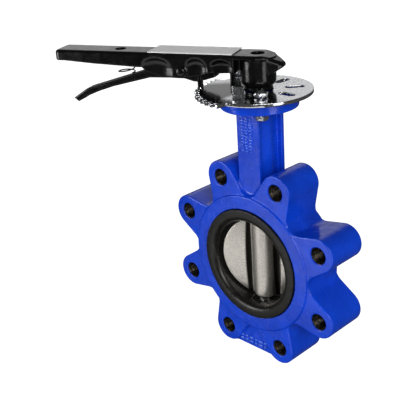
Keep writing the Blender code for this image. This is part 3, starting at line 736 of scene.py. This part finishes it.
def plate_outline():
    """A disc whose lever side steps out to a sector of rounded notches, 7.5 degrees apart."""
    tip_r, root_r, plate_r = 53 * MM, 49 * MM, 44.4 * MM
    step = math.radians(7.5)
    count = 13
    half_notch = 1.85 * MM / tip_r
    ease = 0.55 * MM
    soft = ease / tip_r
    points = []
    for i in range(count):
        middle_angle = math.pi + i * step
        points.append((tip_r, middle_angle - step / 2))
        points.append((tip_r, middle_angle - half_notch - soft))
        points.append((tip_r - ease, middle_angle - half_notch))
        for j in range(7):
            across = math.pi * j / 6
            points.append((root_r + ease * (1 - math.sin(across)),
                           middle_angle - half_notch * math.cos(across)))
        points.append((tip_r - ease, middle_angle + half_notch))
        points.append((tip_r, middle_angle + half_notch + soft))
    points.append((tip_r, math.pi + (count - 0.5) * step))
    margin = math.radians(7)
    start = math.pi + (count - 1) * step + margin
    span = 2 * math.pi - (count - 1) * step - 2 * margin
    points += [(plate_r, start + span * i / 90) for i in range(91)]
    return polar(points)


def slot_outline(angle):
    inner, outer, half = 24.6 * MM, 33.6 * MM, 3.4 * MM
    quarter = math.pi / 2
    ends = arc((outer, 0), half, -quarter, quarter, 12) + arc((inner, 0), half, quarter,
                                                             3 * quarter, 12)
    c, s = math.cos(angle), math.sin(angle)
    return [(x * c - y * s, x * s + y * c) for x, y in ends]


def bent_tab(angle, radius, low, high, thick, width):
    """A strip that lies on the plate's edge and bends up with a round corner."""
    bend = 1.6 * MM
    foot = 5 * MM
    up = arc((radius - bend, low + bend), bend, -math.pi / 2, 0, 6) + [(radius, high)]
    side = [(radius - foot, low)] + up + [(radius - thick, high), (radius - thick, low + thick)]
    side += [(radius - foot, low + thick)]
    ease = 0.4 * MM
    middle_x = sum(x for x, _ in side) / len(side)
    middle_z = sum(z for _, z in side) / len(side)
    loops = []
    for y, shrink in ((-width / 2, ease), (-width / 2 + ease, 0), (width / 2 - ease, 0),
                      (width / 2, ease)):
        loop = []
        for x, z in side:
            size = math.hypot(x - middle_x, z - middle_z)
            keep = 1 - shrink * 0.5 / size
            loop.append((middle_x + (x - middle_x) * keep, y, middle_z + (z - middle_z) * keep))
        loops.append(loop)
    verts, faces = skin(loops)
    turn = Matrix.Rotation(angle, 4, "Z")
    return [tuple(turn @ Vector(v)) for v in verts], faces


def make_notch_plate(metal):
    low = heights("body_casting")[1] + 0.3 * MM
    high = low + 3 * MM
    top = heights("notch_plate")[1]
    slots = [slot_outline(math.radians(angle)) for angle in (-45, 0, 45, 90, 135)]
    collar_hole_r = 11.95 * MM
    outlines = [plate_outline(), circle(collar_hole_r, 48)] + slots
    plate = flat_solid("latch_plate", outlines, low, high, 0.35 * MM, BORE)
    tabs = [bent_tab(math.radians(angle), 38 * MM, low + 0.5 * MM, top, 2.6 * MM, 9.5 * MM)
            for angle in (164, 286)]
    join(plate, [build("tabs", tabs, BORE)])
    dress(plate, "body", "zinc_plate", metal, "notch_plate")


# ---------------------------------------------------------------- fasteners
def hexagon(flats, count, limit):
    """Radii round a hexagon, cut by a circle where its corners are chamfered."""
    points = []
    for i in range(count):
        turn = 2 * math.pi * i / count
        within = turn % (math.pi / 3) - math.pi / 6
        radius = min(flats / 2 / math.cos(within), limit)
        points.append((radius * math.cos(turn), radius * math.sin(turn)))
    return points


def thread_loops(core, crest, pitch, low, high, count):
    loops = []
    steps = max(2, round((high - low) / (pitch / 6)))
    for i in range(steps + 1):
        z = low + (high - low) * i / steps
        loop = []
        for x, y in circle(1, count):
            phase = (z / pitch - math.atan2(y, x) / (2 * math.pi)) % 1
            radius = core + (crest - core) * min(1, max(0, 1.1 - 2.4 * abs(phase - 0.5)))
            radius = min(radius, core + (z - low))
            loop.append((radius * x, radius * y, z))
        loops.append(loop)
    return loops


def flat_loop(outline, z):
    return [(x, y, z) for x, y in outline]


def make_plate_fixings(metal):
    count = 48
    flats, corner = 10 * MM, 5.75 * MM
    for number in (1, 2):
        low, high = heights(f"plate_bolt_{number}")
        head_low = high - 4 * MM
        place = BORE @ Matrix.Translation((*middle(f"plate_bolt_{number}").xy, 0))
        nut_low, nut_high = heights(f"plate_nut_{number}")
        end = max(low, nut_low + 0.3 * MM)
        loops = thread_loops(2.35 * MM, 2.9 * MM, 1 * MM, end, head_low, count)
        for radius, z in ((4.7, 0), (5.0, 0.15), (corner / MM, 0.9), (corner / MM, 3.2),
                          (5.05, 3.75), (4.6, 4.0), (3.4, 4.0), (3.1, 3.75)):
            loops.append(flat_loop(hexagon(flats, count, radius * MM), head_low + z * MM))
        bolt = build(f"hex_bolt_{number}", [skin(loops)], place)
        dress(bolt, "body", "steel", metal, f"plate_bolt_{number}")
        bore = circle(3.15 * MM, count)
        sides = [flat_loop(bore, nut_high - 0.5 * MM), flat_loop(bore, nut_low + 0.5 * MM)]
        for radius, z in ((3.6 * MM, nut_low), (4.7 * MM, nut_low), (corner, nut_low + 0.6 * MM),
                          (corner, nut_high - 0.6 * MM), (4.7 * MM, nut_high),
                          (3.6 * MM, nut_high)):
            sides.append(flat_loop(hexagon(flats, count, radius), z))
        turn = Matrix.Rotation(math.pi / 6, 4, "Z")
        nut = build(f"hex_nut_{number}", [skin(sides, closed=True)], place @ turn)
        dress(nut, "body", "steel", metal, f"plate_nut_{number}")


# ---------------------------------------------------------------- lever
HANDLE_END = 184 * MM
TIP_CORNER_R = 4 * MM
HALF_WIDTHS = ((12, 14.5), (30, 12), (180, 12))
HEAD_NOSE = ((-22.5, 3.6), (-19, 6.6), (-11, 11.2), (-3, 14.5))
SKIRT_EDGE = ((174, 172.4), (146, 170.6), (100, 168.8), (96.4, 165.2), (83, 160.8), (60, 161.0),
              (48, 162.8), (40, 165.2), (17, 166.8))
SCOOPS = ((86.2, 13.6, 168.5, 8.5), (50.0, 9.0, 170.0, 7.5), (27.2, 9.4, 171.5, 5.5))
HUB_R = 14.5 * MM
COLLAR_R = 11.7 * MM
STEM_SQUARE_HALF = 4.8 * MM
STEM_HOLE_R = 5.6 * MM
HANGING_X, HANGING_R = 124 * MM, 4.7 * MM
PIVOT_BOSS_R = 5.4 * MM
PIVOT_HOLE_R = 3.1 * MM
SCREW_HOLE_R = 3.3 * MM


def lever_plan(x, y):
    sides = [(a * MM, b * MM) for a, b in HEAD_NOSE + HALF_WIDTHS]
    corner = arc((HANDLE_END - TIP_CORNER_R, 12 * MM - TIP_CORNER_R), TIP_CORNER_R,
                 math.pi / 2, 0, 6)
    upper = sides[:-1] + corner
    return polygon(upper + [(a, -b) for a, b in upper[::-1]], x, y)


def lever_side(x, z):
    edge = [(a * MM, b * MM) for a, b in SKIRT_EDGE]
    back = HANDLE_END + 5 * MM
    outline = [(16 * MM, LEVER_TOP + 5 * MM), (back, LEVER_TOP + 5 * MM), (back, edge[0][1])]
    return polygon(outline + edge + [(16 * MM, edge[-1][1])], x, z)


def scoops(x, y, z):
    """Hollows in the lever's sides, round in plan, with arched tops."""
    wall, depth = 12 * MM, 2.4 * MM
    shape = None
    for at, half, spring_line, arch in SCOOPS:
        over = np.maximum(z - spring_line * MM, 0) / (arch * MM)
        size = np.sqrt(((x - at * MM) / (half * MM)) ** 2 + ((np.abs(y) - wall) / depth) ** 2
                       + over ** 2)
        scoop = (size - 1) * depth
        shape = scoop if shape is None else np.minimum(shape, scoop)
    return shape


def head_nose(x, z):
    """The sloping top of the nose, and its underside that rises away from the hub."""
    slope_angle = math.radians(25)
    top = (z - LEVER_TOP) * math.cos(slope_angle) + (-8 * MM - x) * math.sin(slope_angle)
    under_angle = math.radians(30)
    under = (167.5 * MM - z) * math.cos(under_angle) + (-15 * MM - x) * math.sin(under_angle)
    return top, np.maximum(under, x + 11 * MM)


def lever_shape(x, y, z):
    plan = lever_plan(x, y)
    under = LEVER_TOP - LEVER_SHEET
    nose_top, nose_under = head_nose(x, z)
    shell = blend_max(plan, blend_max(z - LEVER_TOP, nose_top, 2 * MM), 3.4 * MM)
    head = np.minimum(blend_max(shell, under - z, 0.8 * MM), blend_max(shell, nose_under, 1 * MM))
    bar = blend_max(shell, lever_side(x, z), 1.6 * MM)
    hollow = scoops(x, y, z)
    boss = np.hypot(x - PIVOT_X, z - PIVOT_Z) - PIVOT_BOSS_R
    bar = blend_max(bar, -blend_max(hollow, -boss, 1 * MM), 1.2 * MM)
    body = np.minimum(head, bar)
    spindle = np.hypot(x, y)
    hub = blend_max(spindle - HUB_R, HUB_LOW - z, 5.5 * MM)
    collar = blend_max(spindle - COLLAR_R, heights("lever")[0] - z, 0.8 * MM)
    hub = np.maximum(blend_min(hub, collar, 1.0 * MM), z - under - 1 * MM)
    channel_plan = np.maximum(np.maximum(plan + LEVER_SHEET, 17 * MM - x), 2.0 * MM - hollow)
    channel = blend_max(channel_plan, z - under, 1.5 * MM)
    body = blend_max(body, -channel, 0.8 * MM)
    body = blend_min(body, hub, 1.5 * MM)
    stem_top = heights("upper_stem")[1]
    square = np.maximum(np.abs(x), np.abs(y)) - STEM_SQUARE_HALF
    socket = np.maximum(square, z - stem_top - 0.3 * MM)
    mouth = np.maximum(spindle - STEM_HOLE_R, stem_top - z)
    hang = np.maximum(np.hypot(x - HANGING_X, y) - HANGING_R, under - 3 * MM - z)
    pivot = np.hypot(x - PIVOT_X, z - PIVOT_Z) - PIVOT_HOLE_R
    screw_z = middle("lever_set_screw").z - BORE.translation.z
    screw = np.maximum(np.hypot(x, z - screw_z) - SCREW_HOLE_R, y)
    cuts = np.minimum(np.minimum(socket, mouth), np.minimum(hang, np.minimum(pivot, screw)))
    return blend_max(body, -cuts, 0.7 * MM)


def make_lever(enamel):
    low, high = heights("lever")
    piece = cast("hand_lever", lever_shape, (-26 * MM, -16 * MM, low - 1 * MM),
                 (HANDLE_END + 1.5 * MM, 16 * MM, high + 1 * MM), 0.6 * MM, 0.5, LEVER)
    dress(piece, "rotor", "black_enamel", enamel, "lever")


def rounded_rectangle(x0, x1, y0, y1, radius):
    quarter = math.pi / 2
    points = []
    for i, (x, y) in enumerate(((x1 - radius, y1 - radius), (x0 + radius, y1 - radius),
                                (x0 + radius, y0 + radius), (x1 - radius, y0 + radius))):
        points += arc((x, y), radius, quarter * i, quarter * (i + 1), 4)
    return points


def make_label(metal):
    """A blank plate with a thin raised frame."""
    low, high = heights("label_plate")
    x0, x1, half = 17.7 * MM, 92.6 * MM, 12.6 * MM
    lip = 0.15 * MM
    plate = flat_solid("label_blank", [rounded_rectangle(x0, x1, -half, half, 0.8 * MM)],
                       low, high - lip, 0.15 * MM, LEVER)
    inset, rail = 1.2 * MM, 0.7 * MM
    outer = rounded_rectangle(x0 + inset, x1 - inset, inset - half, half - inset, 1 * MM)
    inset += rail
    inner = rounded_rectangle(x0 + inset, x1 - inset, inset - half, half - inset, 0.6 * MM)
    border = flat_solid("border", [outer, inner], high - 0.4 * MM, high, 0.05 * MM, LEVER)
    join(plate, [border])
    dress(plate, "rotor", "label_metal", metal, "label_plate")


def make_pivot_pin(enamel):
    """A rivet across the lever with a domed head at each side."""
    head, shank, under, crown = 4.0 * MM, 2.8 * MM, 12.3 * MM, 1.2 * MM
    side = [(shank, under), (head, under + 0.05 * MM)]
    side += [(head * math.cos(a), under + 0.1 * MM + (crown - 0.1 * MM) * math.sin(a))
             for a in (math.pi / 2 * i / 6 for i in range(6))]
    side.append((0.1 * MM, under + crown))
    profile = [(radius, -z) for radius, z in side[::-1]] + side
    across_lever = Matrix.Rotation(-math.pi / 2, 4, "X")
    place = LEVER @ Matrix.Translation((PIVOT_X, 0, PIVOT_Z)) @ across_lever
    pin = build("pivot_rivet", [revolve(profile, 32, False)], place)
    dress(pin, "rotor", "black_enamel", enamel, "trigger_pivot_pin")


# ---------------------------------------------------------------- trigger and spring
TRIGGER_SIDE = ((54.5, 157.5), (64.5, 160.2), (95.0, 159.2), (131.0, 150.0), (146.0, 145.0),
                (160.0, 139.2), (168.0, 134.5), (172.5, 137.8), (159.0, 146.5), (107.0, 162.6),
                (85.0, 170.5), (70.0, 173.5), (56.0, 171.5), (49.4, 164.0), (49.4, 157.5))
TRIGGER_NOSE = ((54.0, 158.0), (45.5, 158.5), (36.0, 161.5), (36.0, 165.0), (46.0, 169.0),
                (54.0, 170.0))


def trigger_shape(x, y, z):
    side = polygon([(a * MM, b * MM) for a, b in TRIGGER_SIDE], x, z)
    body = slab(y, 7.5 * MM, side, 1.5 * MM)
    nose_side = polygon([(a * MM, b * MM) for a, b in TRIGGER_NOSE], x, z)
    body = blend_min(body, slab(y, 5.4 * MM, nose_side, 1 * MM), 1.5 * MM)
    pawl_side = box_2d(x - 51.6 * MM, z - 153.9 * MM, 2.2 * MM, 5.7 * MM)
    pawl = slab(y, 1.5 * MM, pawl_side, 0.3 * MM)
    body = blend_min(body, pawl, 0.8 * MM)
    wall, hollow_half, hollow_start = 2.4 * MM, 5 * MM, 70 * MM
    hollow = slab(y, hollow_half, side + wall, 1 * MM)
    channel = blend_max(np.abs(y) - hollow_half, side + wall, 1 * MM)
    hollow = np.maximum(np.minimum(hollow, channel), hollow_start - x)
    pin = np.hypot(x - PIVOT_X, z - PIVOT_Z) - PIVOT_HOLE_R
    return blend_max(body, -np.minimum(pin, hollow), 0.5 * MM)


def make_trigger(enamel):
    piece = cast("squeeze_trigger", trigger_shape, (34 * MM, -9 * MM, 133 * MM),
                 (174 * MM, 9 * MM, 176 * MM), 0.6 * MM, 0.5, LEVER)
    dress(piece, "trigger", "black_enamel", enamel, "trigger")


def make_spring(metal):
    """A compression spring with closed end coils, built at its rest length; the real spring
    shortens as the trigger is squeezed.
    """
    low, high = heights("trigger_spring")
    wire, radius, turns, closed = 0.6 * MM, 7.1 * MM, 3.7, 0.6
    steps, sides = 150, 8
    low, high = low + wire, high - wire
    tight = 2.1 * wire * closed
    loops = []
    for i in range(steps + 1):
        turn = turns * i / steps
        from_end = min(turn, turns - turn)
        rise = tight * min(from_end / closed, 1)
        if from_end == turn:
            z = low + rise
        else:
            z = high - rise
        if from_end > closed:
            share = (turn - closed) / (turns - 2 * closed)
            z = low + tight + share * (high - low - 2 * tight)
        angle = 2 * math.pi * turn
        outward = Vector((math.cos(angle), math.sin(angle), 0))
        middle_point = radius * outward + Vector((0, 0, z))
        loops.append([tuple(middle_point + a * outward + Vector((0, 0, b)))
                      for a, b in circle(wire, sides)])
    at = middle("trigger_spring")
    place = Matrix.Translation((at.x, at.y, BORE.translation.z))
    piece = build("coil_spring", [skin(loops)], place, 60)
    dress(piece, "rotor", "spring_steel", metal, "trigger_spring")
    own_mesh(piece)


def make_set_screw(metal):
    """A grub screw with a hexagonal socket, flush in the far side of the lever's hub."""
    low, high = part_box("lever_set_screw")
    at = middle("lever_set_screw")
    along = Vector((math.sin(LEVER_TURN), -math.cos(LEVER_TURN), 0))
    reach = max(abs((corner - at).to_2d().dot(along.to_2d())) for corner in (low, high))
    half = min(reach, 4 * MM)
    loops = thread_loops(2.5 * MM, 3.0 * MM, 0.8 * MM, -half, half - 0.5 * MM, 24)
    for radius, z in ((2.6, half), (1.75, half)):
        loops.append(flat_loop(circle(radius * MM, 24), z))
    for z in (half - 0.1 * MM, half - 2.2 * MM):
        loops.append(flat_loop(hexagon(3 * MM, 24, 3 * MM), z))
    place = Matrix.Translation(at) @ along.to_track_quat("Z", "X").to_matrix().to_4x4()
    screw = build("grub_screw", [skin(loops)], place)
    dress(screw, "rotor", "steel", metal, "lever_set_screw")


def make_cast_marks(enamel):
    """Plain raised dots and bars where a foundry would cast its size and class marks."""
    depth = 1.5 * MM
    lowest, row_gap = 103, 2.6
    left, column_gap = -5.2, 4.4
    marks = []
    for row in range(12):
        z = lowest + row_gap * row
        for column in range(3):
            x = left + column_gap * column
            long_bar = (row * 2 + column) % 5 < 2
            half = (1.7, 0.75) if long_bar else (0.85, 0.85)
            marks.append((x * MM, z * MM, half[0] * MM, half[1] * MM, -NECK_HALF_Y))
    for x, half_x in ((-15, 2.0), (-9.5, 1.4), (-4, 2.2), (1.5, 1.4), (7, 2.2), (12.5, 1.4)):
        for z in (-82, -78):
            marks.append((x * MM, z * MM, half_x * MM, 1.2 * MM, -WEB_HALF_Y))
    bodies = []
    for x, z, half_x, half_z, face in marks:
        loops = []
        for shrink, out in ((0, -0.4 * MM), (0, depth * 0.5), (0.15 * MM, depth * 0.85),
                            (0.4 * MM, depth)):
            outline = rounded_rectangle(x - half_x + shrink, x + half_x - shrink,
                                        z - half_z + shrink, z + half_z - shrink, 0.2 * MM)
            loops.append([(a, face - out, b) for a, b in outline])
        bodies.append(skin(loops))
    piece = build("cast_marks", bodies, BORE, 60)
    dress(piece, "body", "blue_enamel", enamel)


def dress_frame(node, material, soften=0.25 * MM):
    """Shows a CAD node in its finish, with its edges a little worn."""
    piece = frame["nodes"][node]
    piece.data.materials.clear()
    piece.data.materials.append(material)
    bevel = piece.modifiers.new("worn_edges", "BEVEL")
    bevel.width = soften
    bevel.segments = 2
    bevel.limit_method = "ANGLE"
    bevel.angle_limit = math.radians(40)
    bevel.harden_normals = False


# ---------------------------------------------------------------- the object
enamel = blue_enamel()
black = black_enamel()
steel = bright_steel()
rubber = black_rubber()
bearing = bronze()
make_casting(enamel)
# The raised marks get a lighter blue as a painted highlight.
make_cast_marks(painted_highlight_enamel())
# The threads are coloured near-black as painted shade inside the holes.
make_threads(thread_in_painted_shade())
make_liner(rubber)
make_disc(nickel())
make_notch_plate(zinc_plate())
make_plate_fixings(steel)
make_lever(black)
make_label(label_metal())
make_pivot_pin(black)
make_set_screw(steel)
make_trigger(black)
make_spring(spring_steel())
for bush in ("neck_bush_lower", "neck_bush_upper", "lower_bush", "thrust_washer"):
    dress_frame(bush, bearing)
for ring in ("stem_o_ring_1", "stem_o_ring_2"):
    dress_frame(ring, rubber, 0.05 * MM)
dress_frame("stem_circlip", steel, 0.1 * MM)
for stem in ("upper_stem", "lower_stem"):
    dress_frame(stem, steel)


# ---------------------------------------------------------------- studio
def area_light(name, target, azimuth, elevation, distance, size, power):
    """A softbox that faces the target; azimuth 0 stands on the -Y side, 90 on +X."""
    a, e = math.radians(azimuth), math.radians(elevation)
    away = Vector((math.sin(a) * math.cos(e), -math.cos(a) * math.cos(e), math.sin(e)))
    data = bpy.data.lights.new(name, "AREA")
    data.shape = "RECTANGLE"
    data.size, data.size_y = size
    data.energy = power
    lamp = bpy.data.objects.new(name, data)
    lamp.rotation_mode = "QUATERNION"
    lamp.location = target + away * distance
    lamp.rotation_quaternion = away.to_track_quat("Z", "Y")
    lamp.visible_camera = False
    bpy.context.scene.collection.objects.link(lamp)
    return lamp


def seen_only(thing):
    """Shown to the camera, and left out of reflections and bounced light."""
    thing.visible_diffuse = thing.visible_glossy = thing.visible_transmission = False
    thing.visible_shadow = False


def glowing_paint(name, tone, glow):
    paint = bpy.data.materials.new(name)
    paint.use_nodes = True
    shader = paint.node_tree.nodes["Principled BSDF"]
    shader.inputs["Base Color"].default_value = (tone, tone, tone, 1)
    shader.inputs["Roughness"].default_value = 1.0
    shader.inputs["Specular IOR Level"].default_value = 0.0
    shader.inputs["Emission Color"].default_value = (1, 1, 1, 1)
    shader.inputs["Emission Strength"].default_value = glow
    return paint


def make_floor():
    """A white table, lit a little from inside, and a white backdrop all round it."""
    half = 6
    mesh = bpy.data.meshes.new("floor")
    mesh.from_pydata([(-half, -half, 0), (half, -half, 0), (half, half, 0), (-half, half, 0)],
                     [], [(0, 1, 2, 3)])
    mesh.materials.append(glowing_paint("table_white", 0.5, 1.0))
    seen_only(link("floor", mesh))
    rings = [(7.5, -0.5), (7.5, 2.0), (6.5, 4.5), (4.0, 6.8), (0.1, 7.6)]
    verts, faces = revolve(rings, 48, False)
    dome = bpy.data.meshes.new("backdrop")
    dome.from_pydata(verts, [], faces)
    dome.shade_smooth()
    dome.materials.append(glowing_paint("backdrop_white", 0.0, 1.15))
    seen_only(link("backdrop", dome))


def make_sky(strength):
    world = bpy.data.worlds.new("studio")
    world.use_nodes = True
    background = world.node_tree.nodes["Background"]
    background.inputs["Color"].default_value = (1, 1, 1, 1)
    background.inputs["Strength"].default_value = strength
    bpy.context.scene.world = world


def make_camera():
    data = bpy.data.cameras.new("camera")
    data.lens = 73.25
    data.clip_start, data.clip_end = 0.05, 50
    camera = bpy.data.objects.new("camera", data)
    position = Matrix.Translation((0.4322, -0.4795, 0.4196))
    heading, tilt, roll = (math.radians(angle) for angle in (46.84, 90 - 23.01, -3.98))
    camera.matrix_world = (position @ Matrix.Rotation(heading, 4, "Z")
                           @ Matrix.Rotation(tilt, 4, "X") @ Matrix.Rotation(roll, 4, "Z"))
    bpy.context.scene.collection.objects.link(camera)
    bpy.context.scene.camera = camera


make_floor()
make_sky(0.07)
centre = Vector((0, 0, 0.16))
lever_level = Vector((0, 0, 0.22))
area_light("key", centre, 50, 24, 1.3, (0.9, 0.6), 10.5)
area_light("front_box", lever_level, -35, 0, 1.2, (0.46, 0.55), 6.0)
area_light("right_box", centre, 80, -1, 1.2, (0.42, 0.72), 3.0)
area_light("table_card", centre, 4, -32, 1.3, (2.4, 0.42), 3.9)
area_light("back_wall", centre, 231, 23, 1.4, (2.0, 0.78), 3.5)
make_camera()
bpy.context.scene.view_settings.view_transform = "Standard"
